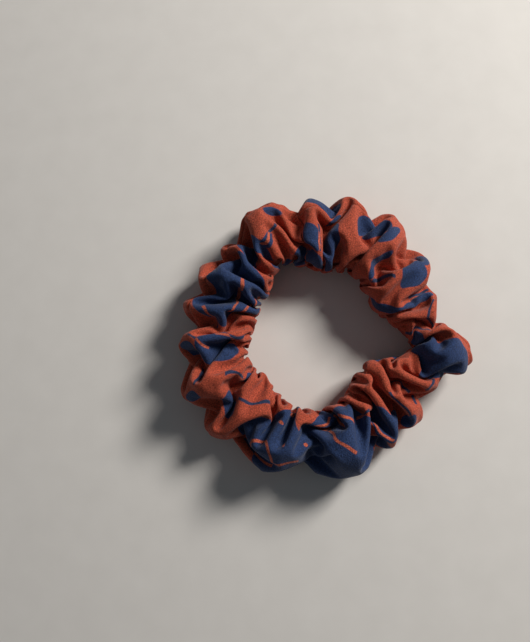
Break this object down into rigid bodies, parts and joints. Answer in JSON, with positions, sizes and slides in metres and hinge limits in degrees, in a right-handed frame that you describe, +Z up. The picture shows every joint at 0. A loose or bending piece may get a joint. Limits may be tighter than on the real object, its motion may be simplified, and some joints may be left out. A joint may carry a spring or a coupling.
{
  "type": "scrunchie",
  "caption": "Hair tie: a tube of light crepe cloth gathered round a loop of flat elastic, lying flat, that stretches open and pulls itself shut.",
  "frame": {"origin": "centre of the ring where it rests on a flat surface, at the base", "axes": "+Z up out of the ring's hole, +X towards the side that is pulled when it stretches, +Y to the side that holds the end seam"},
  "size_m": [0.1044, 0.1028, 0.0241],
  "materials": {
    "printed_crepe": "matte crepe, rust and navy print",
    "elastic_braid": "flat braided elastic, off-white",
    "sewing_thread": "spun polyester thread, dark rust"
  },
  "bodies": {
    "left_side": {"cover_left": "printed_crepe", "elastic": "elastic_braid", "tack_thread": "sewing_thread", "long_seam_thread": "sewing_thread", "end_seam_thread": "sewing_thread", "closing_thread": "sewing_thread"},
    "right_side": {"cover_right": "printed_crepe"}
  },
  "joints": [
    {"name": "stretch", "type": "slide", "parent": "left_side", "child": "right_side", "axis": [1, 0, 0], "range_m": [0, 0.08], "stiffness_N_per_m": 60, "deforming": ["elastic", "long_seam_thread"]}
  ]
}
